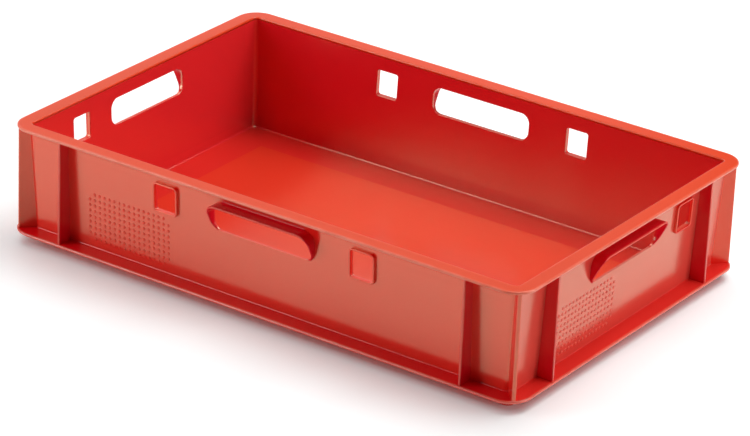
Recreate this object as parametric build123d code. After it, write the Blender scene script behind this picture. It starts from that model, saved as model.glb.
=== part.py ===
"""Low stacking crate for fruit and harvest work: a tray with drafted walls, a flat rim, a stacking
flange and foot, stiffening ribs, four hooded hand holes, six collared square holes and four pip fields.

Millimetres. X runs along the long side, Z is up, and the origin is the middle of the footprint.
Each region of the moulding is a solid of its own, and neighbours meet face to face.
"""
from math import cos, hypot, radians, sin, tan
import os

from build123d import *

# Overall size of the crate
LENGTH = 600.0
WIDTH = 400.0
HEIGHT = 125.0

# Rim: the flat ledge around the mouth
RIM_WIDTH = 16.0
RIM_THICKNESS = 3.0
LEDGE_CORNER_RADIUS = 24.0
LEDGE_EDGE_RADIUS = 1.3
MOUTH_EDGE_RADIUS = 0.9

# Walls: they lean outwards from the floor to the rim
WALL_THICKNESS = 2.8
WALL_DRAFT_DEG = 2.8
INNER_CORNER_RADIUS = 5.0
POST_LEG = 9.0

# Stacking flange and the foot below it, which drops into the mouth of the crate beneath
FOOT_HEIGHT = 11.5
FLANGE_THICKNESS = 3.0
ROOT_RADIUS = 1.0

# Floor: a flat panel with a margin that rises gently to the walls
FLOOR_CLEARANCE = 1.0
FLOOR_THICKNESS = 2.5
MARGIN_WIDTH = 34.0
MARGIN_RISE = 1.0
FLOOR_RADIUS = 2.0

# Upright ribs on the walls and diagonal fins at the corners
RIB_THICKNESS = 3.0
RIB_FROM_END = 64.0
RIB_EDGE_RADIUS = 0.9
FIN_THICKNESS = 4.0

# Hand holes with their hoods
HAND_LENGTH = 116.0
HAND_HEIGHT = 28.0
HAND_RADIUS = 10.0
HAND_DROP = 16.7
HOOD_THICKNESS = 2.2
HOOD_SETBACK = 1.0
HOOD_BEND_RADIUS = 8.0
HOOD_ROOT_RADIUS = 2.5

# Square holes with their collars, level with the hand holes
SQUARE_WIDTH = 25.0
SQUARE_HEIGHT = 27.4
SQUARE_RADIUS = 2.5
SQUARE_FROM_MIDDLE_LONG = 115.0
SQUARE_FROM_RIB_SHORT = 31.0
COLLAR_THICKNESS = 2.0
COLLAR_PROUD = 3.0
LIP_RADIUS = 0.8
HOLE_EDGE_RADIUS = 0.8

# Fields of small pips where a paper label is stuck on and peeled off
PIP_DIAMETER = 3.0
PIP_HEIGHT = 0.8
PIP_PITCH = 6.0
PIP_COLUMNS = 17
PIP_FIELD_FROM_RIB = 75.0
PIP_BELOW_COLLAR = 6.3
PIP_ABOVE_FLANGE = 8.0

# Places worked out from the sizes above
SLOPE = tan(radians(WALL_DRAFT_DEG))
OUTWARD = (0, -cos(radians(WALL_DRAFT_DEG)), -sin(radians(WALL_DRAFT_DEG)))
RIM_UNDERSIDE = HEIGHT - RIM_THICKNESS
LEDGE_REACH = RIM_WIDTH - WALL_THICKNESS
FLANGE_TOP = FOOT_HEIGHT + FLANGE_THICKNESS
FLOOR_TOP = FLOOR_CLEARANCE + FLOOR_THICKNESS
WALL_FOOT = FLOOR_TOP + MARGIN_RISE
HAND_TOP = HEIGHT - HAND_DROP
HAND_CENTRE = HAND_TOP - HAND_HEIGHT / 2
PIP_TOP = HAND_CENTRE - SQUARE_HEIGHT / 2 - COLLAR_THICKNESS - PIP_BELOW_COLLAR
PIP_ROWS = int((PIP_TOP - FLANGE_TOP - PIP_ABOVE_FLANGE) / PIP_PITCH) + 1

# Cutting shapes run this far past what they cut, and edges are matched to this closeness
OVERCUT = 10.0
CLOSE = 0.02

# The four sides: quarter turns from the front, half the side's run, and its distance from the middle
SIDES = {
    "front": (0, LENGTH / 2, WIDTH / 2),
    "right": (1, WIDTH / 2, LENGTH / 2),
    "back": (2, LENGTH / 2, WIDTH / 2),
    "left": (3, WIDTH / 2, LENGTH / 2),
}

# The four corners: which way each lies from the middle, and the direction of its diagonal
CORNERS = {
    "front_left": (-1, -1, 225),
    "front_right": (1, -1, 315),
    "back_right": (1, 1, 45),
    "back_left": (-1, 1, 135),
}


def inset(z):
    """How far the inner wall face stands inside the footprint at height z."""
    return RIM_WIDTH + (HEIGHT - z) * SLOPE


def wall_face(reach, z):
    """Y of the front's outer wall face at height z."""
    return -(reach - inset(z) + WALL_THICKNESS)


def turned(shape, side):
    """A shape made for the front, moved to the named side."""
    return Rot(0, 0, 90 * SIDES[side][0]) * shape


def slab(low, high):
    """Everything between two heights."""
    size = 2 * (LENGTH + WIDTH)
    return Pos(0, 0, low) * Box(size, size, high - low, align=(Align.CENTER, Align.CENTER, Align.MIN))


def wedge(side):
    """Upright prism over the quarter of the footprint that belongs to a side, cut at 45 degrees."""
    run, reach = SIDES[side][1] + OVERCUT, SIDES[side][2] + OVERCUT
    waist = max(run - reach, 0.0)
    depth = min(run, reach) - reach
    points = [(-run, -reach), (run, -reach), (waist, depth)]
    if waist:
        points.append((-waist, depth))
    prism = extrude(Polygon(*points, align=None), HEIGHT + 2 * OVERCUT, dir=(0, 0, 1))
    return turned(Pos(0, 0, -OVERCUT) * prism, side)


def section_bar(points, half_width):
    """A bar along X, centred, whose section is the given (y, z) points."""
    section = make_face(Polyline(*[(0, y, z) for y, z in points], close=True))
    return extrude(section, half_width, dir=(1, 0, 0), both=True)


def drafted(low, high, grow, radius):
    """Block between two heights whose sides lean with the walls, grow outside the inner wall faces."""
    x_low, x_high = [LENGTH / 2 - inset(z) + grow for z in (low, high)]
    y_low, y_high = [WIDTH / 2 - inset(z) + grow for z in (low, high)]
    across = Polyline((-x_low, 0, low), (x_low, 0, low), (x_high, 0, high), (-x_high, 0, high), close=True)
    body = extrude(make_face(across), WIDTH, dir=(0, 1, 0), both=True)
    body = body & section_bar([(-y_low, low), (y_low, low), (y_high, high), (-y_high, high)], LENGTH)
    corners = [e for e in body.edges() if e.bounding_box().size.Z > (high - low) / 2]
    return fillet(corners, radius)


def make_cavity():
    """The space between the walls, from the foot of the walls to above the mouth."""
    space = drafted(WALL_FOOT, HEIGHT + OVERCUT, 0, INNER_CORNER_RADIUS)
    return fillet(space.faces().sort_by(Axis.Z)[0].edges(), FLOOR_RADIUS)


CAVITY = make_cavity()
OUTER = drafted(0, HEIGHT, WALL_THICKNESS, INNER_CORNER_RADIUS + WALL_THICKNESS)


def ledge(low, thickness, roots):
    """A plate around the walls with rounded edges, and a fillet at each of the given root heights."""
    plan = Pos(0, 0, low) * RectangleRounded(LENGTH, WIDTH, LEDGE_CORNER_RADIUS)
    plate = extrude(plan, thickness, dir=(0, 0, 1))
    rims = plate.edges().group_by(Axis.Z)
    body = fillet(rims[0] + rims[-1], LEDGE_EDGE_RADIUS) + (OUTER & slab(FLOOR_TOP, RIM_UNDERSIDE))
    chosen = []
    for edge in body.edges():
        place, tall = edge.center(), edge.bounding_box().size.Z
        by_wall = (abs(place.X) < LENGTH / 2 - LEDGE_REACH + CLOSE
                   and abs(place.Y) < WIDTH / 2 - LEDGE_REACH + CLOSE)
        if by_wall and tall < CLOSE and any(abs(place.Z - z) < CLOSE for z in roots):
            chosen.append(edge)
    return fillet(chosen, ROOT_RADIUS)


def make_rim():
    """The rim ring, with a soft edge around the mouth."""
    ring = ledge(RIM_UNDERSIDE, RIM_THICKNESS, [RIM_UNDERSIDE])
    ring = ring - (OUTER & slab(-OVERCUT, RIM_UNDERSIDE)) - CAVITY
    mouth = ring.faces().sort_by(Axis.Z)[-1].inner_wires()[0]
    return fillet(mouth.edges(), MOUTH_EDGE_RADIUS)


def make_flange():
    """The stacking flange ring."""
    return ledge(FOOT_HEIGHT, FLANGE_THICKNESS, [FOOT_HEIGHT, FLANGE_TOP]) - OUTER


RIM = make_rim()
FLANGE = make_flange()


def ledge_parts():
    """The four lengths of the rim and of the stacking flange."""
    parts = {}
    for side in SIDES:
        parts[f"rim_{side}"] = RIM & wedge(side)
        parts[f"base_flange_{side}"] = FLANGE & wedge(side)
    return parts


def floor_parts():
    """The flat floor panel, the four margins that rise from it, and the four rails of the foot."""
    floor_edge = inset(WALL_FOOT) + FLOOR_RADIUS
    panel_edge = floor_edge + MARGIN_WIDTH
    panel = Box(LENGTH - 2 * panel_edge, WIDTH - 2 * panel_edge, FLOOR_THICKNESS)
    parts = {"floor_panel": Pos(0, 0, FLOOR_TOP - FLOOR_THICKNESS / 2) * panel}
    hole = slab(0, WALL_FOOT) & Box(LENGTH - 2 * floor_edge, WIDTH - 2 * floor_edge, HEIGHT)
    ring = (OUTER & slab(0, FLANGE_TOP)) - hole - CAVITY
    for side, (_, run, reach) in SIDES.items():
        outer, inner = floor_edge - reach, panel_edge - reach
        margin = section_bar([(outer, FLOOR_CLEARANCE), (inner, FLOOR_CLEARANCE),
                              (inner, FLOOR_TOP), (outer, WALL_FOOT)], run)
        parts[f"floor_margin_{side}"] = turned(margin, side) & wedge(side)
        parts[f"stacking_foot_{side}"] = ring & wedge(side)
    return parts


def wall_block(reach, half_width, proud=0.0):
    """A stretch of the front wall as a solid block whose outer face is the wall's, or stands proud."""
    low, high = FOOT_HEIGHT, RIM_UNDERSIDE
    return section_bar([(wall_face(reach, low) - proud, low), (wall_face(reach, high) - proud, high),
                        (-reach / 2, high), (-reach / 2, low)], half_width)


def through_bar(width, height, radius, reach):
    """A rounded bar level with the hand holes that runs out through the middle of the front wall."""
    place = Plane((0, -reach / 2, HAND_CENTRE), x_dir=(1, 0, 0), z_dir=(0, -1, 0))
    return extrude(place * RectangleRounded(width, height, radius), reach / 2 + OVERCUT, dir=(0, -1, 0))


def hand_bar(reach):
    """The space of a hand hole."""
    return through_bar(HAND_LENGTH, HAND_HEIGHT, HAND_RADIUS, reach)


def square_bar(reach):
    """The space of a square hole."""
    return through_bar(SQUARE_WIDTH, SQUARE_HEIGHT, SQUARE_RADIUS, reach)


def square_places(side):
    """Where the square holes are along a side: two on a long side, one on a short side."""
    if side in ("front", "back"):
        return {"_left": -SQUARE_FROM_MIDDLE_LONG, "_right": SQUARE_FROM_MIDDLE_LONG}
    return {"": SIDES[side][1] - RIB_FROM_END - SQUARE_FROM_RIB_SHORT}


def wall_parts():
    """The four wall panels with their holes, and the four rounded corner posts."""
    ring = (OUTER & slab(FLANGE_TOP, RIM_UNDERSIDE)) - CAVITY
    parts = {}
    for side, (_, run, reach) in SIDES.items():
        half = run - inset(FLANGE_TOP) - INNER_CORNER_RADIUS - POST_LEG
        stretch = turned(Pos(0, -reach, HEIGHT / 2) * Box(2 * half, reach, 2 * HEIGHT), side)
        panel = (ring & stretch) - turned(hand_bar(reach), side)
        ring = ring - stretch
        for x in square_places(side).values():
            panel = panel - turned(Pos(x, 0, 0) * square_bar(reach), side)
        pierced = [f for f in panel.faces() if f.inner_wires()]
        inner = min(pierced, key=lambda f: abs(f.center().X) + abs(f.center().Y))
        loops = [e for wire in inner.inner_wires() for e in wire.edges()]
        parts[f"{side}_wall"] = fillet(loops, HOLE_EDGE_RADIUS)
    for name, (sx, sy, _) in CORNERS.items():
        corner = Vector(sx * LENGTH, sy * WIDTH, 0)
        parts[f"corner_post_{name}"] = min(ring.solids(), key=lambda s: (s.center() - corner).length)
    return parts


def rib_parts():
    """Two upright ribs on each side, between the flange and the rim."""
    parts = {}
    for side, (_, run, reach) in SIDES.items():
        edge = -(reach - LEDGE_EDGE_RADIUS)
        plan = Pos(0, edge) * Rectangle(RIB_THICKNESS, -edge - reach / 2, align=(Align.CENTER, Align.MIN))
        bar = Pos(0, 0, FLANGE_TOP) * extrude(plan, RIM_UNDERSIDE - FLANGE_TOP, dir=(0, 0, 1))
        bar = fillet(bar.edges().filter_by(Axis.Z).group_by(Axis.Y)[0], RIB_EDGE_RADIUS)
        for name, sign in (("left", -1), ("right", 1)):
            rib = turned(Pos(sign * (run - RIB_FROM_END), 0, 0) * bar, side)
            parts[f"rib_{side}_{name}"] = rib - OUTER - FLANGE - RIM
    return parts


def fin_parts():
    """A diagonal fin at each corner, from the corner post out to the rounded corner of rim and flange."""
    length = RIM_WIDTH + LEDGE_CORNER_RADIUS
    end = LEDGE_CORNER_RADIUS - LEDGE_EDGE_RADIUS
    plan = Pos(end, 0) * Rectangle(length, FIN_THICKNESS, align=(Align.MAX, Align.CENTER))
    bar = Pos(0, 0, FLANGE_TOP) * extrude(plan, RIM_UNDERSIDE - FLANGE_TOP, dir=(0, 0, 1))
    bar = fillet(bar.edges().filter_by(Axis.Z).group_by(Axis.X)[-1], RIB_EDGE_RADIUS)
    parts = {}
    for name, (sx, sy, turn) in CORNERS.items():
        x, y = sx * (LENGTH / 2 - LEDGE_CORNER_RADIUS), sy * (WIDTH / 2 - LEDGE_CORNER_RADIUS)
        parts[f"corner_fin_{name}"] = Pos(x, y, 0) * Rot(0, 0, turn) * bar - OUTER - FLANGE - RIM
    return parts


def off_outline(point, width, height, radius):
    """How far a point lies outside the outline of a bar made by through_bar."""
    x = abs(point.X) - width / 2 + radius
    z = abs(point.Z - HAND_CENTRE) - height / 2 + radius
    return hypot(max(x, 0.0), max(z, 0.0)) + min(max(x, z), 0.0) - radius


def soft_lip(body, hole, tube):
    """Round the lip of a tube that stands around a hole; hole and tube are width, height and radius."""
    back = body.bounding_box().max.Y
    lip = []
    for edge in body.edges():
        middle = edge.position_at(0.5)
        on_lip = abs(edge.tangent_at(0.5).Y) < 1 - CLOSE and middle.Y < back - CLOSE
        if on_lip and any(abs(off_outline(middle, *outline)) < CLOSE for outline in (hole, tube)):
            lip.append(edge)
    return fillet(lip, LIP_RADIUS)


def hood_root(reach):
    """The fillet in the corner between the wall and the flat top of a hood."""
    shelf = HAND_TOP + HOOD_THICKNESS
    axis_z = shelf + HOOD_ROOT_RADIUS
    axis_y = wall_face(reach, axis_z) - HOOD_ROOT_RADIUS / cos(radians(WALL_DRAFT_DEG))
    back = axis_y + 2 * HOOD_ROOT_RADIUS
    half = HAND_LENGTH / 2 - HAND_RADIUS
    strip = section_bar([(axis_y, HAND_TOP), (axis_y, axis_z), (back, axis_z), (back, HAND_TOP)], half)
    return strip - Pos(0, axis_y, axis_z) * Rot(0, 90, 0) * Cylinder(HOOD_ROOT_RADIUS, HAND_LENGTH)


def hood_parts():
    """A scoop over each hand hole: a shelf along the top whose cheeks run out at the hole's lower edge."""
    hole = (HAND_LENGTH, HAND_HEIGHT, HAND_RADIUS)
    tube = tuple(size + grow * HOOD_THICKNESS for size, grow in zip(hole, (2, 2, 1)))
    base = HAND_TOP - HAND_HEIGHT
    parts = {}
    for side, (_, _, reach) in SIDES.items():
        lip, far = -(reach - HOOD_SETBACK), -(reach + 2 * OVERCUT)
        fall = (wall_face(reach, base) - lip) / HAND_HEIGHT
        foot = lip + fall * (HAND_TOP - FOOT_HEIGHT)
        trim = section_bar([(lip, HEIGHT), (lip, HAND_TOP), (foot, FOOT_HEIGHT), (far, FOOT_HEIGHT),
                            (far, HEIGHT)], HAND_LENGTH)
        bend = [e for e in trim.edges().filter_by(Axis.X) if abs(e.center().Z - HAND_TOP) < CLOSE]
        body = through_bar(*tube, reach) - fillet(bend, HOOD_BEND_RADIUS) - hand_bar(reach)
        body = soft_lip(body, hole, tube) + hood_root(reach)
        parts[f"hand_hood_{side}"] = turned(body, side) - OUTER - RIM
    return parts


def collar_parts():
    """A low collar around each square hole."""
    hole = (SQUARE_WIDTH, SQUARE_HEIGHT, SQUARE_RADIUS)
    tube = tuple(size + grow * COLLAR_THICKNESS for size, grow in zip(hole, (2, 2, 1)))
    parts = {}
    for side, (_, _, reach) in SIDES.items():
        body = through_bar(*tube, reach) & wall_block(reach, SQUARE_WIDTH, COLLAR_PROUD)
        body = soft_lip(body - square_bar(reach), hole, tube)
        for name, x in square_places(side).items():
            parts[f"square_collar_{side}{name}"] = turned(Pos(x, 0, 0) * body, side) - OUTER
    return parts


def pip_parts():
    """A field of pips on each wall, in straight rows, with the four corner pips left out."""
    pip = Cylinder(PIP_DIAMETER / 2, PIP_HEIGHT, align=(Align.CENTER, Align.CENTER, Align.MIN))
    parts = {}
    for side, (_, run, reach) in SIDES.items():
        middle = PIP_FIELD_FROM_RIB + RIB_FROM_END - run
        pips = []
        for column in range(PIP_COLUMNS):
            for row in range(PIP_ROWS):
                if column in (0, PIP_COLUMNS - 1) and row in (0, PIP_ROWS - 1):
                    continue
                x = middle + (column - (PIP_COLUMNS - 1) / 2) * PIP_PITCH
                z = PIP_TOP - row * PIP_PITCH
                place = Plane((x, wall_face(reach, z), z), x_dir=(1, 0, 0), z_dir=OUTWARD)
                pips.append(turned(place * pip, side))
        parts[f"label_pips_{side}"] = Compound(pips)
    return parts


os.makedirs("parts", exist_ok=True)
for make in (ledge_parts, floor_parts, wall_parts, rib_parts, fin_parts, hood_parts, collar_parts, pip_parts):
    for node, shape in make().items():
        export_step(shape, f"parts/{node}.step")
        print(node, round(shape.volume / 1000, 2), "cm3", len(shape.solids()), "solids")
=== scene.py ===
# %% [markdown]
# # A red stacking crate
# The crate is one moulding of high-density polyethylene: a low tray with leaning walls, a flat rim, a stacking
# flange, ribs, hooded hand holes and fields of small pips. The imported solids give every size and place. This
# file dresses them: it sets up camera, light and floor, builds the moulded plastic finishes, and grows with
# Geometry Nodes what repeats or runs around the crate.

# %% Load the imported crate
import math

import bpy
from mathutils import Matrix, Vector


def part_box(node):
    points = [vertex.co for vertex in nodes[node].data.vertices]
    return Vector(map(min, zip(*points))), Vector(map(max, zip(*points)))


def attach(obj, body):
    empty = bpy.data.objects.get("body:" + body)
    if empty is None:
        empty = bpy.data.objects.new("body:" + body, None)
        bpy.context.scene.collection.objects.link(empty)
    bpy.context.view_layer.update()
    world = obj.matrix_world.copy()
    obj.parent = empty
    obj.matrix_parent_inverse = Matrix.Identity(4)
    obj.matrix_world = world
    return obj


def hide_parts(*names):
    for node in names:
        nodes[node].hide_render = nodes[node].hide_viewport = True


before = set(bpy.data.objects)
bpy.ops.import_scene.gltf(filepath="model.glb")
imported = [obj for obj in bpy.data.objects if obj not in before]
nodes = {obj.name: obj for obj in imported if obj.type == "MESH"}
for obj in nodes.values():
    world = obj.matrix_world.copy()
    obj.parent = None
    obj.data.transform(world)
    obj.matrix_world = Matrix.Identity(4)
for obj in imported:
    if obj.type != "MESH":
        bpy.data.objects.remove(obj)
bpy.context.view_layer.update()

scene = bpy.context.scene

# %% [markdown]
# ## Camera
# The picture was taken from far away with a long lens, so the crate's edges stay almost parallel. A camera can
# be placed by eye, but here its turn, height, roll and distance come from fitting the corners of rim and flange,
# which is why the numbers are not round. The roll is small: the picture leans by two and a half degrees.

# %% Place the camera
AZIMUTH, ELEVATION, ROLL = 0.5944, 0.4309, 0.0444
SIDE_SHIFT, UP_SHIFT, DISTANCE = 0.0026, 0.0392, 3.9319
FOCAL_PIXELS, PICTURE_WIDTH, SENSOR = 3992.4, 750, 36.0

level = Vector((math.cos(AZIMUTH), math.sin(AZIMUTH), 0))
ahead = Vector((math.sin(AZIMUTH), -math.cos(AZIMUTH), 0))
back = math.cos(ELEVATION) * ahead + math.sin(ELEVATION) * Vector((0, 0, 1))
upright = back.cross(level)
right = math.cos(ROLL) * level + math.sin(ROLL) * upright
up = math.cos(ROLL) * upright - math.sin(ROLL) * level
place = SIDE_SHIFT * right + UP_SHIFT * up + DISTANCE * back

lens = bpy.data.cameras.new("photo_camera")
lens.sensor_width = SENSOR
lens.lens = FOCAL_PIXELS / PICTURE_WIDTH * SENSOR
camera = bpy.data.objects.new("photo_camera", lens)
camera.matrix_world = Matrix.Translation(place) @ Matrix((right, up, back)).transposed().to_4x4()
scene.collection.objects.link(camera)
scene.camera = camera
print("lens", round(lens.lens, 1), "mm, camera at", [round(v, 2) for v in place])

# %% [markdown]
# ## A way to write node trees
# World, floor, plastic and Geometry Nodes trees are all built from nodes. One small helper adds a node, sets its
# properties and either links or fills its inputs, so that each tree below reads as a list of what it does. The
# second starts a group with named inputs and outputs, and the third an empty material.

# %% Node helpers
FLOAT, COUNT, COLOUR = "NodeSocketFloat", "NodeSocketInt", "NodeSocketColor"
FINISH, SHAPE = "NodeSocketMaterial", "NodeSocketGeometry"


def wire(tree, kind, inputs=None, **settings):
    """Add a node, set its properties, and link or fill its inputs by name or number."""
    node = tree.nodes.new(kind)
    for key, value in settings.items():
        setattr(node, key, value)
    for key, value in (inputs or {}).items():
        if isinstance(value, bpy.types.NodeSocket):
            tree.links.new(value, node.inputs[key])
        else:
            node.inputs[key].default_value = value
    return node


def start_group(name, kind, inputs, output):
    """A node group with named inputs and one output; gives the group and the sockets of its input node."""
    tree = bpy.data.node_groups.new(name, kind)
    for label, (sort, value) in inputs.items():
        socket = tree.interface.new_socket(label, in_out="INPUT", socket_type=sort)
        if value is not None:
            socket.default_value = value
    tree.interface.new_socket(output[0], in_out="OUTPUT", socket_type=output[1])
    print("group", name, "with inputs", list(inputs))
    return tree, tree.nodes.new("NodeGroupInput").outputs


def new_material(name):
    """An empty material; gives it and its node tree."""
    material = bpy.data.materials.new(name)
    material.use_nodes = True
    material.node_tree.nodes.clear()
    return material, material.node_tree


# %% [markdown]
# ## World
# Around the table stands a white sweep that reaches a little above the horizon, with a dark room over it. A plain
# white world would be simpler, but it would light the crate from all sides and wash out its shadows. Here only the
# camera and reflections see the sweep, so it whitens the background and puts no light on the crate. In a world,
# Generated coordinates are the direction one looks in, and the third of them says how far that points up.

# %% World
ROOM_LIGHT, SWEEP_TOP, SWEEP_END = 0.01, 0.12, 0.26
scene.view_settings.view_transform = "Standard"


def seen_rays(tree):
    """In a tree: one for rays from the camera, from a reflection or through something clear, else nought."""
    path = wire(tree, "ShaderNodeLightPath").outputs
    either = wire(tree, "ShaderNodeMath", {0: path["Is Camera Ray"], 1: path["Is Glossy Ray"]}, operation="MAXIMUM")
    return wire(tree, "ShaderNodeMath", {
        0: either.outputs[0], 1: path["Is Transmission Ray"]}, operation="MAXIMUM").outputs[0]


world = bpy.data.worlds.new("white_sweep")
world.use_nodes = True
tree = world.node_tree
tree.nodes.clear()
heading = wire(tree, "ShaderNodeSeparateXYZ", {0: wire(tree, "ShaderNodeTexCoord").outputs["Generated"]})
sweep = wire(tree, "ShaderNodeMapRange", {
    "Value": heading.outputs[2], "From Min": SWEEP_TOP, "From Max": SWEEP_END, "To Min": 1.0, "To Max": ROOM_LIGHT})
bright = wire(tree, "ShaderNodeMix", {0: seen_rays(tree), 2: ROOM_LIGHT, 3: sweep.outputs[0]}, data_type="FLOAT")
room = wire(tree, "ShaderNodeBackground", {"Color": (1, 1, 1, 1), "Strength": bright.outputs[0]})
wire(tree, "ShaderNodeOutputWorld", {"Surface": room.outputs[0]})
scene.world = world
print("world", world.name, "with", len(tree.nodes), "nodes")

# %% [markdown]
# ## Lamps
# The set is lit by one broad soft box, with white card around the table. Area lamps copy both, because their size
# gives the soft shadows and the wide reflections that plastic shows. There is the soft box, a smaller panel at its
# left that draws thin bright lines along rounded edges, a card at the front left that fills the long wall, one on
# the right for the short wall, and a weak one behind that puts a sheen on the floor.

# %% Hang the lamps
def soft_panel(name, place, size, watts):
    """A square area lamp that faces the crate."""
    lamp = bpy.data.lights.new(name, "AREA")
    lamp.shape, lamp.size, lamp.energy = "SQUARE", size, watts
    panel = bpy.data.objects.new(name, lamp)
    panel.location = place
    panel.rotation_euler = (-Vector(place)).to_track_quat("-Z", "Y").to_euler()
    scene.collection.objects.link(panel)
    print(name, watts, "W,", size, "m square")


soft_panel("overhead_soft_box", (0.4, 0.6, 1.9), 1.8, 39)
soft_panel("upper_left_panel", (-1.3, 0.35, 1.7), 1.3, 9)
soft_panel("front_left_card", (-1.75, -1.8, 0.95), 1.5, 30)
soft_panel("right_card", (2.2, 0.6, 0.6), 1.2, 17)
soft_panel("back_left_card", (-1.6, 2.0, 1.0), 1.4, 4)

# %% [markdown]
# ## Distance from the outline
# Both the table and the plastic have to know how far a point lies from the crate's outline, a rectangle with rounded
# corners. A painted mask could say that, but four lines of vector maths do it exactly: fold the place into one
# quarter, measure how far it lies past the corner's centre, and take off the corner's radius. As a node group this
# is written once and used twice.

# %% Group: distance from the outline
LENGTH, WIDTH, CORNER_RADIUS = 0.600, 0.400, 0.024
STRAIGHT_HALVES = (LENGTH / 2 - CORNER_RADIUS, WIDTH / 2 - CORNER_RADIUS, 0)

outline_distance, given = start_group("outline_distance", "ShaderNodeTree", {}, ("Distance", FLOAT))
spot = wire(outline_distance, "ShaderNodeTexCoord")
folded = wire(outline_distance, "ShaderNodeVectorMath", {0: spot.outputs["Object"]}, operation="ABSOLUTE")
flat = wire(outline_distance, "ShaderNodeVectorMath", {0: folded.outputs[0], 1: (1, 1, 0)}, operation="MULTIPLY")
past = wire(outline_distance, "ShaderNodeVectorMath", {
    0: flat.outputs[0], 1: STRAIGHT_HALVES}, operation="SUBTRACT")
past = wire(outline_distance, "ShaderNodeVectorMath", {0: past.outputs[0], 1: (0, 0, 0)}, operation="MAXIMUM")
far = wire(outline_distance, "ShaderNodeVectorMath", {0: past.outputs[0]}, operation="LENGTH")
beyond = wire(outline_distance, "ShaderNodeMath", {
    0: far.outputs["Value"], 1: CORNER_RADIUS}, operation="SUBTRACT")
wire(outline_distance, "NodeGroupOutput", {"Distance": beyond.outputs[0]})

# %% [markdown]
# ## Table
# The table is plain white and shows only the crate's soft shadow. A white floor could be had with more lamp
# power, but that would bleach the crate too. Instead the material adds a little glow that only the camera and
# reflections see. The glow fades out towards the crate, so that the dark line where it meets the table stays,
# and grows far away from it, where the lamps no longer reach. The table is a touch green and blue, because the
# light that bounces off the crate is red.

# %% White table
TABLE_GLOW, GLOW_START, GLOW_REACH = 0.24, -0.013, -0.001
FAR_GLOW, FAR_START, FAR_REACH = 0.9, 0.45, 1.8
TABLE_COLOUR, HALF_TABLE = (0.87, 0.925, 0.925, 1), 12.0

white, tree = new_material("white_table")
away = wire(tree, "ShaderNodeGroup", node_tree=outline_distance)
near = wire(tree, "ShaderNodeMapRange", {
    "Value": away.outputs[0], "From Min": GLOW_START, "From Max": GLOW_REACH, "To Max": TABLE_GLOW})
far = wire(tree, "ShaderNodeMapRange", {
    "Value": away.outputs[0], "From Min": FAR_START, "From Max": FAR_REACH, "To Max": FAR_GLOW})
glow = wire(tree, "ShaderNodeMath", {0: near.outputs[0], 1: far.outputs[0]}, operation="ADD")
lit = wire(tree, "ShaderNodeBsdfPrincipled", {"Base Color": TABLE_COLOUR, "Roughness": 0.6})
glowing = wire(tree, "ShaderNodeEmission", {"Color": glow.outputs[0], "Strength": seen_rays(tree)})
both = wire(tree, "ShaderNodeAddShader", {0: lit.outputs[0], 1: glowing.outputs[0]})
wire(tree, "ShaderNodeOutputMaterial", {"Surface": both.outputs[0]})

sheet = bpy.data.meshes.new("white_table")
corners = [(x * HALF_TABLE, y * HALF_TABLE, 0) for x, y in ((-1, -1), (1, -1), (1, 1), (-1, 1))]
sheet.from_pydata(corners, [], [(0, 1, 2, 3)])
sheet.materials.append(white)
table = bpy.data.objects.new("white_table", sheet)
scene.collection.objects.link(table)
print("table", 2 * HALF_TABLE, "m wide")

# %% [markdown]
# ## Moulded red plastic: colour
# Polyethylene that comes out of a mould has several layers of detail, and each becomes a node group on Object
# coordinates, so that its pattern runs on without a seam from one solid to the next. The first is colour: it
# drifts a little where the melt flowed and mixed. A painted map could show that too, but noise with a little
# distortion needs no unwrapping and has the same soft swirls.

# %% Group: drifting colour
flow_tint, given = start_group("flow_tint", "ShaderNodeTree", {
    "Deep Colour": (COLOUR, (0.7, 0.03, 0.01, 1)), "Bright Colour": (COLOUR, (0.8, 0.05, 0.02, 1)),
    "Scale": (FLOAT, 7.0)}, ("Colour", COLOUR))
spot = wire(flow_tint, "ShaderNodeTexCoord")
drift = wire(flow_tint, "ShaderNodeTexNoise", {
    "Vector": spot.outputs["Object"], "Scale": given["Scale"], "Detail": 4.0, "Roughness": 0.6, "Distortion": 0.8})
spread = wire(flow_tint, "ShaderNodeMapRange", {"Value": drift.outputs[0], "From Min": 0.3, "From Max": 0.7})
tint = wire(flow_tint, "ShaderNodeMix", {
    0: spread.outputs[0], 6: given["Deep Colour"], 7: given["Bright Colour"]}, data_type="RGBA")
wire(flow_tint, "NodeGroupOutput", {"Colour": tint.outputs[2]})

# %% [markdown]
# ## Moulded red plastic: skin
# The skin copies the fine eroded grain of the steel mould, under a millimetre across, over slow waves where thick
# and thin places cooled at different speeds. Both are far too shallow to model, so they become one height for a
# bump, the waves giving their share and the grain riding on top.

# %% Group: moulded grain
moulded_grain, given = start_group("moulded_grain", "ShaderNodeTree", {
    "Grain Scale": (FLOAT, 1100.0), "Wave Scale": (FLOAT, 22.0), "Wave Share": (FLOAT, 0.5)}, ("Height", FLOAT))
spot = wire(moulded_grain, "ShaderNodeTexCoord")
fine = wire(moulded_grain, "ShaderNodeTexNoise", {
    "Vector": spot.outputs["Object"], "Scale": given["Grain Scale"], "Detail": 2.0})
slow = wire(moulded_grain, "ShaderNodeTexNoise", {
    "Vector": spot.outputs["Object"], "Scale": given["Wave Scale"], "Detail": 1.0})
skin = wire(moulded_grain, "ShaderNodeMath", {
    0: slow.outputs[0], 1: given["Wave Share"], 2: fine.outputs[0]}, operation="MULTIPLY_ADD")
wire(moulded_grain, "NodeGroupOutput", {"Height": skin.outputs[0]})

# %% [markdown]
# ## Moulded red plastic: rub marks
# A crate that has been handled carries hair-fine scuffs that run in a few directions. Noise squeezed hard along one
# axis turns into long thin streaks. Three such layers, each turned another way, are laid over each other, and only
# their strongest lines are kept.

# %% Group: rub marks
STREAK_TURNS, STREAK_TILT = (0.35, 1.25, 2.2), (0.2, 0.3)

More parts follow.
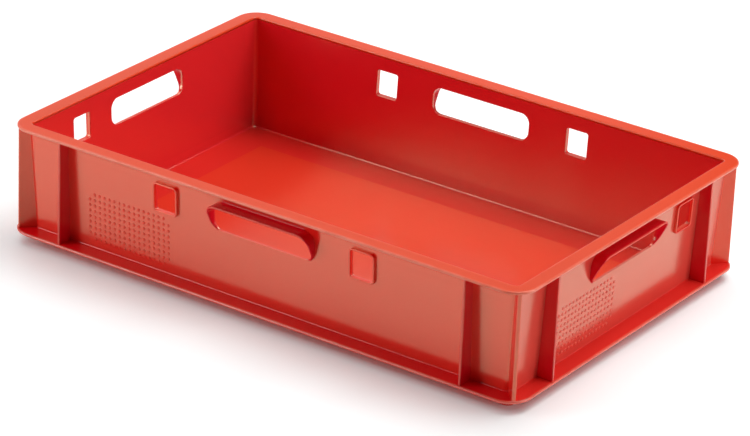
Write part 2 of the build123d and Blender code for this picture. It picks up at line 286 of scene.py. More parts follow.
rub_marks, given = start_group("rub_marks", "ShaderNodeTree", {
    "Scale": (FLOAT, 30.0), "Stretch": (FLOAT, 28.0), "Least": (FLOAT, 0.62), "Most": (FLOAT, 0.8)},
    ("Mask", FLOAT))
spot = wire(rub_marks, "ShaderNodeTexCoord")
along = wire(rub_marks, "ShaderNodeCombineXYZ", {0: 1.0, 1: given["Stretch"], 2: given["Stretch"]})
most = None
for turn in STREAK_TURNS:
    turned = wire(rub_marks, "ShaderNodeMapping", {
        "Vector": spot.outputs["Object"], "Rotation": (*STREAK_TILT, turn)})
    squeezed = wire(rub_marks, "ShaderNodeVectorMath", {
        0: turned.outputs[0], 1: along.outputs[0]}, operation="MULTIPLY")
    streak = wire(rub_marks, "ShaderNodeTexNoise", {
        "Vector": squeezed.outputs[0], "Scale": given["Scale"], "Detail": 1.0}).outputs[0]
    most = streak if most is None else wire(
        rub_marks, "ShaderNodeMath", {0: most, 1: streak}, operation="MAXIMUM").outputs[0]
mark = wire(rub_marks, "ShaderNodeMapRange", {"Value": most, "From Min": given["Least"], "From Max": given["Most"]})
wire(rub_marks, "NodeGroupOutput", {"Mask": mark.outputs[0]})

# %% [markdown]
# ## Moulded red plastic: rubbed edges and painted highlights
# Edges that reach the outline are paler and polished. The paleness is partly wear, because that is where a crate rubs
# against the next one, and partly a painted highlight, the bright line that a rounded edge catches from the lamps.
# Edge wear is often taken from the curve of the surface, which needs a baked map. Here all worn edges lie on the
# outline, so a thin band along it is enough, broken up by noise so that it doesn't look drawn with a ruler.

# %% Group: rubbed edges and painted highlights
rubbed_and_highlit_edges, given = start_group("rubbed_and_highlit_edges", "ShaderNodeTree", {
    "Reach": (FLOAT, 0.0026), "Full Wear": (FLOAT, 0.0004), "Breakup Scale": (FLOAT, 45.0)}, ("Mask", FLOAT))
spot = wire(rubbed_and_highlit_edges, "ShaderNodeTexCoord")
beyond = wire(rubbed_and_highlit_edges, "ShaderNodeGroup", node_tree=outline_distance)
depth = wire(rubbed_and_highlit_edges, "ShaderNodeMath", {0: beyond.outputs[0], 1: -1.0}, operation="MULTIPLY")
near = wire(rubbed_and_highlit_edges, "ShaderNodeMapRange", {
    "Value": depth.outputs[0], "From Min": given["Reach"], "From Max": given["Full Wear"]})
noise = wire(rubbed_and_highlit_edges, "ShaderNodeTexNoise", {
    "Vector": spot.outputs["Object"], "Scale": given["Breakup Scale"], "Detail": 3.0})
broken = wire(rubbed_and_highlit_edges, "ShaderNodeMapRange", {
    "Value": noise.outputs[0], "From Min": 0.25, "From Max": 0.6, "To Min": 0.55, "To Max": 1.0})
edge = wire(rubbed_and_highlit_edges, "ShaderNodeMath", {0: near.outputs[0], 1: broken.outputs[0]}, operation="MULTIPLY")
wire(rubbed_and_highlit_edges, "NodeGroupOutput", {"Mask": edge.outputs[0]})

# %% [markdown]
# ## Moulded red plastic: round turns
# The small radii between upright and level faces come glossiest out of the mould, since that steel is polished by
# hand. A normal that is neither upright nor level gives them away, and no map has to be painted.

# %% Group: round turns
round_turns, given = start_group("round_turns", "ShaderNodeTree", {
    "Least Tilt": (FLOAT, 0.25), "Most Tilt": (FLOAT, 0.98)}, ("Mask", FLOAT))
axes = wire(round_turns, "ShaderNodeSeparateXYZ", {0: wire(round_turns, "ShaderNodeTexCoord").outputs["Normal"]})
tilt = wire(round_turns, "ShaderNodeMath", {0: axes.outputs[2]}, operation="ABSOLUTE")
over = wire(round_turns, "ShaderNodeMath", {0: tilt.outputs[0], 1: given["Least Tilt"]}, operation="GREATER_THAN")
under = wire(round_turns, "ShaderNodeMath", {0: tilt.outputs[0], 1: given["Most Tilt"]}, operation="LESS_THAN")
turn = wire(round_turns, "ShaderNodeMath", {0: over.outputs[0], 1: under.outputs[0]}, operation="MULTIPLY")
wire(round_turns, "NodeGroupOutput", {"Mask": turn.outputs[0]})

# %% [markdown]
# ## Moulded red plastic: inside or outside
# Inner and outer faces of a wall get different colours: the inner ones a deeper red, which paints the shade inside
# the crate. One solid has both, so the material must tell them apart. Two materials on one solid would need its faces
# sorted by hand. Instead a face counts as outer where its normal and its place, both seen from the crate's middle,
# point the same way.

# %% Group: outer faces
outer_faces, given = start_group("outer_faces", "ShaderNodeTree", {}, ("Mask", FLOAT))
spot = wire(outer_faces, "ShaderNodeTexCoord")
away = wire(outer_faces, "ShaderNodeVectorMath", {
    0: spot.outputs["Normal"], 1: spot.outputs["Object"]}, operation="DOT_PRODUCT")
outward = wire(outer_faces, "ShaderNodeMath", {0: away.outputs["Value"], 1: 0.0}, operation="GREATER_THAN")
wire(outer_faces, "NodeGroupOutput", {"Mask": outward.outputs[0]})

# %% [markdown]
# ## Moulded red plastic: sides or ends
# The ends get colours of their own: outside a paler red, which paints the brighter sheen of the short walls, and
# inside a lighter red, which paints the light falling on the inner end faces. A corner post turns from one to the
# other. A face looks to an end where its normal leans more along the crate than across it. A soft blend between the
# two keeps the round corner free of a hard line.

# %% Group: faces towards the ends
end_faces, given = start_group("end_faces", "ShaderNodeTree", {"Blend": (FLOAT, 0.3)}, ("Mask", FLOAT))
spot = wire(end_faces, "ShaderNodeTexCoord")
size = wire(end_faces, "ShaderNodeVectorMath", {0: spot.outputs["Normal"]}, operation="ABSOLUTE")
axes = wire(end_faces, "ShaderNodeSeparateXYZ", {0: size.outputs[0]})
lead = wire(end_faces, "ShaderNodeMath", {0: axes.outputs[0], 1: axes.outputs[1]}, operation="SUBTRACT")
least = wire(end_faces, "ShaderNodeMath", {0: given["Blend"], 1: -1.0}, operation="MULTIPLY")
turned = wire(end_faces, "ShaderNodeMapRange", {
    "Value": lead.outputs[0], "From Min": least.outputs[0], "From Max": given["Blend"]})
wire(end_faces, "NodeGroupOutput", {"Mask": turned.outputs[0]})

# %% [markdown]
# ## Moulded red plastic: painted shade in inner corners
# The inner corners are darkened towards the floor: a painted shade, where the walls hide each other from the lamps.
# The mask grows towards the upright lines where two walls meet. There both distances to the walls are small, so the
# larger of the two tells how near the corner is, and a smooth step makes its edge soft. A second mask makes it fade
# towards the rim.

# %% Group: painted shade in inner corners
RIM_WIDTH, FLOOR_TOP, CORNER_LINE = 0.016, 0.004, 0.004
INNER_HALVES = (LENGTH / 2 - RIM_WIDTH, WIDTH / 2 - RIM_WIDTH, 0)

painted_corner_shade, given = start_group("painted_corner_shade", "ShaderNodeTree", {
    "Reach": (FLOAT, 0.040), "Highest": (FLOAT, 0.085)}, ("Mask", FLOAT))
spot = wire(painted_corner_shade, "ShaderNodeTexCoord")
folded = wire(painted_corner_shade, "ShaderNodeVectorMath", {0: spot.outputs["Object"]}, operation="ABSOLUTE")
inset = wire(painted_corner_shade, "ShaderNodeVectorMath", {0: INNER_HALVES, 1: folded.outputs[0]}, operation="SUBTRACT")
axes = wire(painted_corner_shade, "ShaderNodeSeparateXYZ", {0: inset.outputs[0]})
farther = wire(painted_corner_shade, "ShaderNodeMath", {0: axes.outputs[0], 1: axes.outputs[1]}, operation="MAXIMUM")
close = wire(painted_corner_shade, "ShaderNodeMapRange", {
    "Value": farther.outputs[0], "From Min": given["Reach"], "From Max": CORNER_LINE},
    interpolation_type="SMOOTHSTEP")
outer = wire(painted_corner_shade, "ShaderNodeGroup", node_tree=outer_faces)
inner = wire(painted_corner_shade, "ShaderNodeMath", {0: 1.0, 1: outer.outputs["Mask"]}, operation="SUBTRACT")
held = wire(painted_corner_shade, "ShaderNodeMath", {0: close.outputs[0], 1: inner.outputs[0]}, operation="MULTIPLY")
rise = wire(painted_corner_shade, "ShaderNodeSeparateXYZ", {0: spot.outputs["Object"]})
low = wire(painted_corner_shade, "ShaderNodeMapRange", {
    "Value": rise.outputs[2], "From Min": given["Highest"], "From Max": FLOOR_TOP})
shade_mask = wire(painted_corner_shade, "ShaderNodeMath", {0: held.outputs[0], 1: low.outputs[0]}, operation="MULTIPLY")
wire(painted_corner_shade, "NodeGroupOutput", {"Mask": shade_mask.outputs[0]})

# %% [markdown]
# ## Moulded red plastic: the finish
# The finish puts the groups together. Plain values stay on the shader's own sockets: a slightly warm reflection,
# because the skin of red polyethylene is no perfect mirror of white, and a refraction that sets how glossy it is,
# from 1.1 for dull to 1.8 for shiny. A thin coat stands for the polish, and only rubbed edges and round turns
# have it. Colours come in pairs, first for faces along the sides and then for those at the ends.

# %% Material: red moulded plastic
GRAIN_DEPTH, GRAIN_HEIGHT = 0.08, 0.0002
# Below: how pale the outline band gets, which is wear and a painted highlight, and how strong and how dark the
# painted shade in the inner corners is.
RUBBED, RUB_ROUGHNESS, EDGE_WEAR_AND_HIGHLIGHT, CORNER_SHADE_STRENGTH = 0.03, 0.4, 0.75, 0.24
PALE, SHADE, CORNER_SHADE_COLOUR = (0.93, 0.19, 0.12, 1), (0.97, 0.90, 0.90, 1), (0.05, 0.0, 0.0, 1)
WARM_GLEAM, COAT_ROUGHNESS, COAT_REFRACTION = (1.0, 0.86, 0.54, 1), 0.18, 1.8


def red_plastic(name, inside, outside, satin, gloss, polish):
    """Satin red polyethylene: a pair of colours each for inner and outer faces, roughness, refraction, polish."""
    material, tree = new_material(name)
    ends = wire(tree, "ShaderNodeGroup", node_tree=end_faces).outputs["Mask"]
    inner, outer = [wire(tree, "ShaderNodeMix", {0: ends, 6: along, 7: across}, data_type="RGBA").outputs[2]
                    for along, across in (inside, outside)]
    faces = wire(tree, "ShaderNodeGroup", node_tree=outer_faces)
    before_corner_shade = wire(tree, "ShaderNodeMix", {0: faces.outputs["Mask"], 6: inner, 7: outer}, data_type="RGBA")
    # Painted shade: the inner corners turn dark towards the floor.
    shade_mask = wire(tree, "ShaderNodeGroup", node_tree=painted_corner_shade)
    shade_amount = wire(tree, "ShaderNodeMath", {0: shade_mask.outputs["Mask"], 1: CORNER_SHADE_STRENGTH}, operation="MULTIPLY")
    bright = wire(tree, "ShaderNodeMix", {
        0: shade_amount.outputs[0], 6: before_corner_shade.outputs[2], 7: CORNER_SHADE_COLOUR}, data_type="RGBA").outputs[2]
    deep = wire(tree, "ShaderNodeMix", {0: 1.0, 6: bright, 7: SHADE}, data_type="RGBA", blend_type="MULTIPLY")
    colour = wire(tree, "ShaderNodeGroup", {
        "Deep Colour": deep.outputs[2], "Bright Colour": bright}, node_tree=flow_tint)
    rubs = wire(tree, "ShaderNodeGroup", node_tree=rub_marks)
    edges = wire(tree, "ShaderNodeGroup", node_tree=rubbed_and_highlit_edges)
    turns = wire(tree, "ShaderNodeGroup", node_tree=round_turns)
    hair = wire(tree, "ShaderNodeMath", {0: rubs.outputs["Mask"], 1: RUBBED}, operation="MULTIPLY")
    # Rub marks and the outline band make the colour paler: on the outline this is wear and a painted highlight.
    worn_and_highlit = wire(tree, "ShaderNodeMath", {
        0: edges.outputs["Mask"], 1: EDGE_WEAR_AND_HIGHLIGHT, 2: hair.outputs[0]}, operation="MULTIPLY_ADD")
    paler = wire(tree, "ShaderNodeMix", {
        0: worn_and_highlit.outputs[0], 6: colour.outputs["Colour"], 7: PALE}, data_type="RGBA")
    rougher = wire(tree, "ShaderNodeMath", {
        0: hair.outputs[0], 1: RUB_ROUGHNESS, 2: satin}, operation="MULTIPLY_ADD")
    smooth = wire(tree, "ShaderNodeMath", {
        0: edges.outputs["Mask"], 1: turns.outputs["Mask"]}, operation="MAXIMUM")
    shine = wire(tree, "ShaderNodeMath", {0: smooth.outputs[0], 1: polish}, operation="MULTIPLY")
    height = wire(tree, "ShaderNodeGroup", node_tree=moulded_grain)
    bump = wire(tree, "ShaderNodeBump", {
        "Height": height.outputs["Height"], "Strength": GRAIN_DEPTH, "Distance": GRAIN_HEIGHT})
    skin = wire(tree, "ShaderNodeBsdfPrincipled", {
        "Base Color": paler.outputs[2], "Roughness": rougher.outputs[0], "Normal": bump.outputs[0],
        "IOR": gloss, "Specular IOR Level": 1.0, "Specular Tint": WARM_GLEAM,
        "Coat Weight": shine.outputs[0], "Coat Roughness": COAT_ROUGHNESS, "Coat IOR": COAT_REFRACTION})
    wire(tree, "ShaderNodeOutputMaterial", {"Surface": skin.outputs[0]})
    print("finish", name, "with", len(tree.nodes), "nodes")
    return material


# %% [markdown]
# ## Finishes
# One red is not enough for the whole crate, and several of its reds are painted light. The rim and the floor panel
# are
# the most orange: painted light, the orange that brightly lit red takes on. The walls are deep red inside, a painted
# shade, a little lighter at the ends as painted light, and brighter and glossier outside, and the short ones are the
# palest, a painted sheen. The floor panel is a shade lighter than the margin around it, whose deeper red paints the
# shade near the walls. Ribs and hoods take the deep red of the inside, which paints the shade on their sides and
# under the rim. The flange, which gathers grit, and the hoods are the dullest. Fins, collars and pips are rougher
# than the walls they stand on. Separate materials keep this easy to change, and every solid gets its own by the start
# of its name.

# %% Mix the finishes and give them to the solids
# Pairs, sides then ends. Inside: a painted shade, lighter at the ends as painted light. Outside: the paler end colour
# is a painted sheen. The deep red paints shade on ribs and hoods.
INSIDE_SHADE_AND_LIGHT = (0.73, 0.004, 0.018, 1), (0.82, 0.027, 0.034, 1)
OUTSIDE_WITH_END_SHEEN = (0.87, 0.014, 0.010, 1), (0.78, 0.074, 0.054, 1)
DEEP_SHADE, SCUFFED = [INSIDE_SHADE_AND_LIGHT[0]] * 2, [OUTSIDE_WITH_END_SHEEN[0]] * 2
# The rim and panel reds paint the orange of brightly lit red; the margin red paints the shade near the walls.
LIT_RIM = [(0.79, 0.053, 0.006, 1)] * 2
FLANGE, FLANGE_END = [(0.86, 0.006, 0.013, 1)] * 2, [(0.82, 0.032, 0.025, 1)] * 2
LIT_PANEL, SHADED_MARGIN = [(0.80, 0.044, 0.019, 1)] * 2, [(0.74, 0.026, 0.020, 1)] * 2

crate_red = red_plastic("crate_red", DEEP_SHADE, DEEP_SHADE, 0.26, 1.34, 0.2)
rim_red = red_plastic("rim_red", LIT_RIM, LIT_RIM, 0.30, 1.32, 0.4)
flange_red = red_plastic("flange_red", FLANGE, FLANGE, 0.26, 1.12, 0.8)
flange_end_red = red_plastic("flange_end_red", FLANGE_END, FLANGE_END, 0.26, 1.20, 0.6)
panel_red = red_plastic("panel_red", LIT_PANEL, LIT_PANEL, 0.24, 1.50, 0.0)
margin_red = red_plastic("margin_red", SHADED_MARGIN, SHADED_MARGIN, 0.24, 1.36, 0.15)
long_wall_red = red_plastic("long_wall_red", INSIDE_SHADE_AND_LIGHT, OUTSIDE_WITH_END_SHEEN, 0.19, 1.68, 0.3)
short_wall_red = red_plastic("short_wall_red", INSIDE_SHADE_AND_LIGHT, OUTSIDE_WITH_END_SHEEN, 0.19, 1.80, 0.3)
hood_red = red_plastic("hood_red", DEEP_SHADE, DEEP_SHADE, 0.26, 1.12, 0.2)
scuffed_red = red_plastic("scuffed_red", SCUFFED, SCUFFED, 0.26, 1.60, 0.0)
pip_red = red_plastic("pip_red", OUTSIDE_WITH_END_SHEEN, OUTSIDE_WITH_END_SHEEN, 0.30, 1.40, 0.0)

starts = {"rim": rim_red, "base_flange_left": flange_end_red, "base_flange_right": flange_end_red,
          "base_flange": flange_red, "floor_panel": panel_red, "floor_margin": margin_red,
          "left_wall": short_wall_red, "right_wall": short_wall_red, "front_wall": long_wall_red,
          "back_wall": long_wall_red, "corner_post": long_wall_red, "stacking_foot": long_wall_red,
          "hand_hood": hood_red, "corner_fin": scuffed_red, "square_collar": scuffed_red}
for name, node in nodes.items():
    red = next((red for start, red in starts.items() if name.startswith(start)), crate_red)
    node.material_slots[0].material = red
print("finished", len(nodes), "solids")

# %% [markdown]
# ## Growing pieces with Geometry Nodes
# What repeats, or runs around the crate by a rule, is grown by a node tree from a few named sizes. The first helper
# sets those sizes on a modifier, reads the finished mesh once, and throws the modifier away, because a plain mesh
# is what the frame and the export work with. The second lets large faces decide the shading, so that a flat face
# stays flat right up to its rounded edge. The third hands the mesh over as a piece of the crate.

# %% Helpers: grow a mesh and add it as a piece
def grow(name, tree, sizes):
    """Run a Geometry Nodes tree with the given sizes and keep its result as a plain mesh."""
    maker = bpy.data.objects.new(name, bpy.data.meshes.new(name))
    scene.collection.objects.link(maker)
    modifier = maker.modifiers.new(tree.name, "NODES")
    modifier.node_group = tree
    for item in tree.interface.items_tree:
        if item.in_out == "INPUT" and item.name in sizes:
            modifier[item.identifier] = sizes[item.name]
    graph = bpy.context.evaluated_depsgraph_get()
    mesh = bpy.data.meshes.new_from_object(maker.evaluated_get(graph), depsgraph=graph)
    bpy.data.objects.remove(maker)
    return mesh


def weigh_normals(mesh):
    """Smooth shading in which each vertex follows the largest faces around it."""
    sums = [Vector() for _ in mesh.vertices]
    for face in mesh.polygons:
        for number in face.vertices:
            sums[number] += face.area * face.normal
    mesh.shade_smooth()
    mesh.normals_split_custom_set_from_vertices([total.normalized() for total in sums])


def add_piece(name, mesh, *stands_for):
    """Show a mesh as a piece of the crate in place of the named solids."""
    mesh.name = name
    weigh_normals(mesh)
    piece = bpy.data.objects.new(name, mesh)
    scene.collection.objects.link(piece)
    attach(piece, "root")
    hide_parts(*stands_for)
    print(name, len(mesh.polygons), "faces, for", len(stands_for), "solids")


def rounded_outline(tree, length, width, radius, count):
    """In a tree: a closed rectangle with rounded corners of count points each."""
    corners = wire(tree, "GeometryNodeCurvePrimitiveQuadrilateral", {"Width": length, "Height": width})
    rounded = wire(tree, "GeometryNodeFilletCurve", {
        "Curve": corners.outputs[0], "Radius": radius, "Count": count}, mode="POLY")
    return rounded.outputs[0]


def finish_tree(tree, shape, plastic):
    """In a tree: make instances real, give them their material, and send them out."""
    real = wire(tree, "GeometryNodeRealizeInstances", {0: shape})
    done = wire(tree, "GeometryNodeSetMaterial", {0: real.outputs[0], "Material": plastic})
    wire(tree, "NodeGroupOutput", {0: done.outputs[0]})
    print("tree", tree.name, "with", len(tree.nodes), "nodes")


# %% [markdown]
# ## Walls and sides
# All four walls lean outwards by the same draft, so that the part leaves the mould. The few sizes below describe
# that lean. The right, back and left sides are the front one turned by quarter turns about the crate's middle, so
# each repeated piece is made for the front and turned into place.

# %% Sizes that the pieces share, in metres
HEIGHT, RIM_LOW, EDGE_RADIUS = 0.125, 0.122, 0.0013
FLANGE_TOP, WALL, LEAN_DEGREES = 0.0145, 0.0028, 2.8
RIM_MIDDLE = (RIM_LOW + HEIGHT) / 2
LEAN = math.tan(math.radians(LEAN_DEGREES))
SIDES = {"front": (0, LENGTH / 2, WIDTH / 2), "right": (1, WIDTH / 2, LENGTH / 2),
         "back": (2, LENGTH / 2, WIDTH / 2), "left": (3, WIDTH / 2, LENGTH / 2)}


def inner_inset(height):
    """How far the wall's inner face stands inside the footprint at a height."""
    return RIM_WIDTH + (HEIGHT - height) * LEAN


def quarter_turn(side):
    """The turn that brings a piece from the front to a side."""
    return Matrix.Rotation(math.radians(90) * SIDES[side][0], 4, "Z")


print("inner inset in mm", [round(inner_inset(z) * 1000, 2) for z in (FLANGE_TOP, RIM_LOW, HEIGHT)])

# %% [markdown]
# ## Rim
# The rim is a flat ledge that runs once around the mouth. Its outer line has wide corners and its inner line, the
# mouth, has tight ones, so the ledge is broader at the corners than along the sides. A plain sweep along one line
# would keep one width all round. This tree draws both lines as curves with the same number of points, and a small
# section with round edges, except where it lies on the wall.

# %% Tree: ledge ring
CORNER_POINTS, EDGE_POINTS = 14, 5

ledge_ring, given = start_group("ledge_ring", "GeometryNodeTree", {
    "Outer Length": (FLOAT, LENGTH), "Outer Width": (FLOAT, WIDTH), "Outer Radius": (FLOAT, CORNER_RADIUS),
    "Inner Length": (FLOAT, 0.568), "Inner Width": (FLOAT, 0.368), "Inner Radius": (FLOAT, 0.005),
    "Ledge Width": (FLOAT, RIM_WIDTH), "Thickness": (FLOAT, HEIGHT - RIM_LOW), "Edge Radius": (FLOAT, EDGE_RADIUS),
    "Middle Height": (FLOAT, RIM_MIDDLE), "Plastic": (FINISH, None)}, ("Geometry", SHAPE))
position = wire(ledge_ring, "GeometryNodeInputPosition").outputs[0]
outer = rounded_outline(
    ledge_ring, given["Outer Length"], given["Outer Width"], given["Outer Radius"], CORNER_POINTS)
inner = rounded_outline(
    ledge_ring, given["Inner Length"], given["Inner Width"], given["Inner Radius"], CORNER_POINTS)
axes = wire(ledge_ring, "ShaderNodeSeparateXYZ", {0: position})
inward = wire(ledge_ring, "FunctionNodeCompare", {0: axes.outputs[0], 1: 0.0}, operation="GREATER_THAN")
below = wire(ledge_ring, "FunctionNodeCompare", {0: axes.outputs[1], 1: 0.0}, operation="LESS_THAN")
on_wall = wire(ledge_ring, "FunctionNodeBooleanMath", {0: inward.outputs[0], 1: below.outputs[0]}, operation="AND")
rounding = wire(ledge_ring, "GeometryNodeSwitch", {
    "Switch": on_wall.outputs[0], "False": given["Edge Radius"], "True": 0.0}, input_type="FLOAT")
section = rounded_outline(
    ledge_ring, given["Ledge Width"], given["Thickness"], rounding.outputs[0], EDGE_POINTS)

# %% [markdown]
# ## Rim: from lines to ring
# A loft through the lines would do, but Geometry Nodes has none. So a flat grid is bent into a ring. One way its rows
# follow the two lines, the other way its columns follow the section, whose sideways place says how far a vertex
# lies from the outer line to the mouth. The last row and column fall on the first and are merged with them.

# %% Tree: ledge ring, bending the grid
SAME_PLACE = 0.00001

around = wire(ledge_ring, "GeometryNodeAttributeDomainSize", {0: outer}, component="CURVE").outputs["Point Count"]
across = wire(ledge_ring, "GeometryNodeAttributeDomainSize", {0: section}, component="CURVE").outputs["Point Count"]
rows = wire(ledge_ring, "FunctionNodeIntegerMath", {0: around, 1: 1}, operation="ADD").outputs[0]
columns = wire(ledge_ring, "FunctionNodeIntegerMath", {0: across, 1: 1}, operation="ADD").outputs[0]
grid = wire(ledge_ring, "GeometryNodeMeshGrid", {"Vertices X": rows, "Vertices Y": columns})
number = wire(ledge_ring, "GeometryNodeInputIndex").outputs[0]
row = wire(ledge_ring, "FunctionNodeIntegerMath", {0: number, 1: columns}, operation="DIVIDE_FLOOR").outputs[0]
column = wire(ledge_ring, "FunctionNodeIntegerMath", {0: number, 1: columns}, operation="MODULO").outputs[0]
row = wire(ledge_ring, "FunctionNodeIntegerMath", {0: row, 1: around}, operation="MODULO").outputs[0]
column = wire(ledge_ring, "FunctionNodeIntegerMath", {0: column, 1: across}, operation="MODULO").outputs[0]


def point_of(curve, index):
    """The place of a curve's point, by number."""
    return wire(ledge_ring, "GeometryNodeSampleIndex", {
        "Geometry": curve, "Value": position, "Index": index}, data_type="FLOAT_VECTOR").outputs[0]


shift = wire(ledge_ring, "ShaderNodeSeparateXYZ", {0: point_of(section, column)})
share = wire(ledge_ring, "ShaderNodeMath", {0: shift.outputs[0], 1: given["Ledge Width"]}, operation="DIVIDE")
share = wire(ledge_ring, "ShaderNodeMath", {0: share.outputs[0], 1: 0.5}, operation="ADD")
between = wire(ledge_ring, "ShaderNodeMix", {
    0: share.outputs[0], 4: point_of(outer, row), 5: point_of(inner, row)}, data_type="VECTOR")
height = wire(ledge_ring, "ShaderNodeMath", {0: shift.outputs[1], 1: given["Middle Height"]}, operation="ADD")
lift = wire(ledge_ring, "ShaderNodeCombineXYZ", {2: height.outputs[0]})
final = wire(ledge_ring, "ShaderNodeVectorMath", {0: between.outputs[1], 1: lift.outputs[0]}, operation="ADD")
bent = wire(ledge_ring, "GeometryNodeSetPosition", {"Geometry": grid.outputs[0], "Position": final.outputs[0]})
closed = wire(ledge_ring, "GeometryNodeMergeByDistance", {"Geometry": bent.outputs[0], "Distance": SAME_PLACE})
outside_out = wire(ledge_ring, "GeometryNodeFlipFaces", {0: closed.outputs[0]})
finish_tree(ledge_ring, outside_out.outputs[0], given["Plastic"])

# %% [markdown]
# ## Rim: growing it
# The mouth's size follows from the lean of the walls, at half the rim's height. One closed ring takes the place of
# four mitred solids, so no seam shows at the corners.

# %% Grow the rim
mouth = inner_inset(RIM_MIDDLE)
mesh = grow("rim_ring", ledge_ring, {
    "Inner Length": LENGTH - 2 * mouth, "Inner Width": WIDTH - 2 * mouth, "Plastic": rim_red})
add_piece("rim_ring", mesh, *[f"rim_{side}" for side in SIDES])

# %% [markdown]
# ## Label pips
# Each wall has a field of small round pips, nine rows of seventeen with the corners left out. A paper label sticks
# to their tops only and peels off in one piece. Hundreds of the same shape on a regular grid are a textbook case
# for instances: one flattened ball, put on every point of a grid. The ball's lower half sinks into the wall.

# %% Tree: pip field
PIP_SEGMENTS, PIP_RINGS, CORNER_NEIGHBOURS = 8, 6, 2

pip_field, given = start_group("pip_field", "GeometryNodeTree", {
    "Columns": (COUNT, 17), "Rows": (COUNT, 9), "Pitch": (FLOAT, 0.006), "Pip Radius": (FLOAT, 0.0017),
    "Pip Height": (FLOAT, 0.0006), "Plastic": (FINISH, None)}, ("Geometry", SHAPE))
sides = []
for label in ("Columns", "Rows"):
    gaps = wire(pip_field, "ShaderNodeMath", {0: given[label], 1: 1.0}, operation="SUBTRACT")
    sides.append(wire(pip_field, "ShaderNodeMath", {
        0: gaps.outputs[0], 1: given["Pitch"]}, operation="MULTIPLY").outputs[0])
grid = wire(pip_field, "GeometryNodeMeshGrid", {
    "Size X": sides[0], "Size Y": sides[1], "Vertices X": given["Columns"], "Vertices Y": given["Rows"]})
around = wire(pip_field, "GeometryNodeInputMeshVertexNeighbors")
corner = wire(pip_field, "FunctionNodeCompare", {
    2: around.outputs["Vertex Count"], 3: CORNER_NEIGHBOURS}, data_type="INT", operation="EQUAL")
kept = wire(pip_field, "GeometryNodeDeleteGeometry", {
    "Geometry": grid.outputs[0], "Selection": corner.outputs[0]}, domain="POINT")
ball = wire(pip_field, "GeometryNodeMeshUVSphere", {
    "Segments": PIP_SEGMENTS, "Rings": PIP_RINGS, "Radius": 1.0})
flat = wire(pip_field, "ShaderNodeCombineXYZ", {
    0: given["Pip Radius"], 1: given["Pip Radius"], 2: given["Pip Height"]})
pips = wire(pip_field, "GeometryNodeInstanceOnPoints", {
    "Points": kept.outputs[0], "Instance": ball.outputs[0], "Scale": flat.outputs[0]})
finish_tree(pip_field, pips.outputs[0], given["Plastic"])

# %% [markdown]
# ## Label pips: placing them
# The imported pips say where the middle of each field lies. The flat field is stood up, leant back with the wall and
# turned to its side, so that the row of pips lies in the wall's outer face.

# %% Grow the four pip fields
for side, (_, _, reach) in SIDES.items():
    low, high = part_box(f"label_pips_{side}")
    middle = quarter_turn(side).inverted() @ ((low + high) / 2)
    mesh = grow(f"pips_{side}", pip_field, {"Plastic": pip_red})
    lean = Matrix.Rotation(math.radians(90 + LEAN_DEGREES), 4, "X")
    spot = Matrix.Translation((middle.x, inner_inset(middle.z) - WALL - reach, middle.z))
    mesh.transform(quarter_turn(side) @ spot @ lean)
    add_piece(f"pips_{side}", mesh, f"label_pips_{side}")

# %% [markdown]
# ## Ribs
# Two upright ribs on each side join rim and flange and keep the wall from bulging. On the real part they are thin
# plates with a rounded outer edge, deeper at the foot because the wall leans away from them. The tree sweeps a
# rounded bar up the wall, pushes its inner side along the lean, and places one on each side of the middle.

# %% Tree: rib pair
RIB_EDGE_POINTS = 4

rib_pair, given = start_group("rib_pair", "GeometryNodeTree", {
    "From Middle": (FLOAT, 0.236), "Edge": (FLOAT, -0.1987), "Depth": (FLOAT, 0.018), "Thickness": (FLOAT, 0.003),
    "Edge Radius": (FLOAT, 0.0009), "Foot": (FLOAT, FLANGE_TOP), "Top": (FLOAT, RIM_LOW), "Lean": (FLOAT, LEAN),
    "Plastic": (FINISH, None)}, ("Geometry", SHAPE))
outline = rounded_outline(rib_pair, given["Thickness"], given["Depth"], given["Edge Radius"], RIB_EDGE_POINTS)
foot = wire(rib_pair, "ShaderNodeCombineXYZ", {2: given["Foot"]})
top = wire(rib_pair, "ShaderNodeCombineXYZ", {2: given["Top"]})
rise = wire(rib_pair, "GeometryNodeCurvePrimitiveLine", {"Start": foot.outputs[0], "End": top.outputs[0]})
plate = wire(rib_pair, "GeometryNodeCurveToMesh", {
    "Curve": rise.outputs[0], "Profile Curve": outline, "Fill Caps": True})
axes = wire(rib_pair, "ShaderNodeSeparateXYZ", {0: wire(rib_pair, "GeometryNodeInputPosition").outputs[0]})
inner = wire(rib_pair, "FunctionNodeCompare", {0: axes.outputs[1], 1: 0.0}, operation="GREATER_THAN")
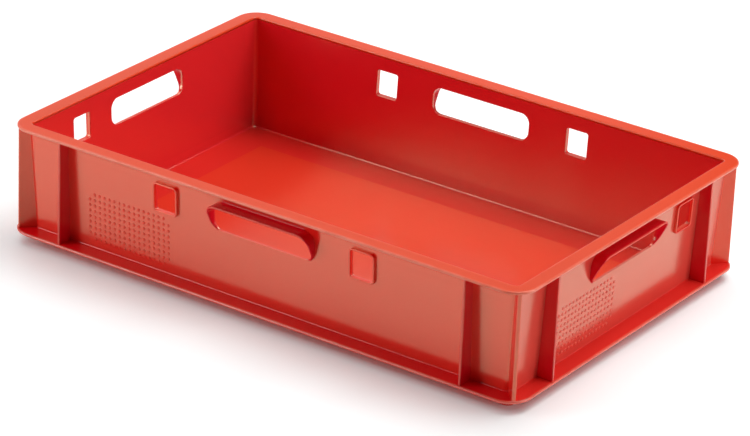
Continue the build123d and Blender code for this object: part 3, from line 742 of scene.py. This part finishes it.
drop = wire(rib_pair, "ShaderNodeMath", {0: given["Foot"], 1: axes.outputs[2]}, operation="SUBTRACT")
push = wire(rib_pair, "ShaderNodeMath", {0: drop.outputs[0], 1: given["Lean"]}, operation="MULTIPLY")
offset = wire(rib_pair, "ShaderNodeCombineXYZ", {1: push.outputs[0]})
leant = wire(rib_pair, "GeometryNodeSetPosition", {
    "Geometry": plate.outputs[0], "Selection": inner.outputs[0], "Offset": offset.outputs[0]})
half = wire(rib_pair, "ShaderNodeMath", {
    0: given["Depth"], 1: 0.5, 2: given["Edge"]}, operation="MULTIPLY_ADD")
other = wire(rib_pair, "ShaderNodeMath", {0: given["From Middle"], 1: -1.0}, operation="MULTIPLY")
gap = wire(rib_pair, "ShaderNodeMath", {0: given["From Middle"], 1: 2.0}, operation="MULTIPLY")
first = wire(rib_pair, "ShaderNodeCombineXYZ", {0: other.outputs[0], 1: half.outputs[0]})
step = wire(rib_pair, "ShaderNodeCombineXYZ", {0: gap.outputs[0]})
line = wire(rib_pair, "GeometryNodeMeshLine", {
    "Count": 2, "Start Location": first.outputs[0], "Offset": step.outputs[0]})
ribs = wire(rib_pair, "GeometryNodeInstanceOnPoints", {"Points": line.outputs[0], "Instance": leant.outputs[0]})
finish_tree(rib_pair, ribs.outputs[0], given["Plastic"])

# %% [markdown]
# ## Ribs: placing them
# A long and a short side differ only in how far the ribs stand from the middle and how far out the side lies. The
# ends of each rib sink a little into wall, rim and flange, as in one moulding, so that no light slips through.

# %% Grow the four pairs of ribs
RIB_FROM_END, SUNK = 0.064, 0.0008
for side, (_, run, reach) in SIDES.items():
    mesh = grow(f"ribs_{side}", rib_pair, {
        "From Middle": run - RIB_FROM_END, "Edge": EDGE_RADIUS - reach,
        "Depth": inner_inset(FLANGE_TOP) - WALL + SUNK - EDGE_RADIUS,
        "Foot": FLANGE_TOP - SUNK, "Top": RIM_LOW + SUNK, "Plastic": crate_red})
    mesh.transform(quarter_turn(side))
    add_piece(f"ribs_{side}", mesh, f"rib_{side}_left", f"rib_{side}_right")
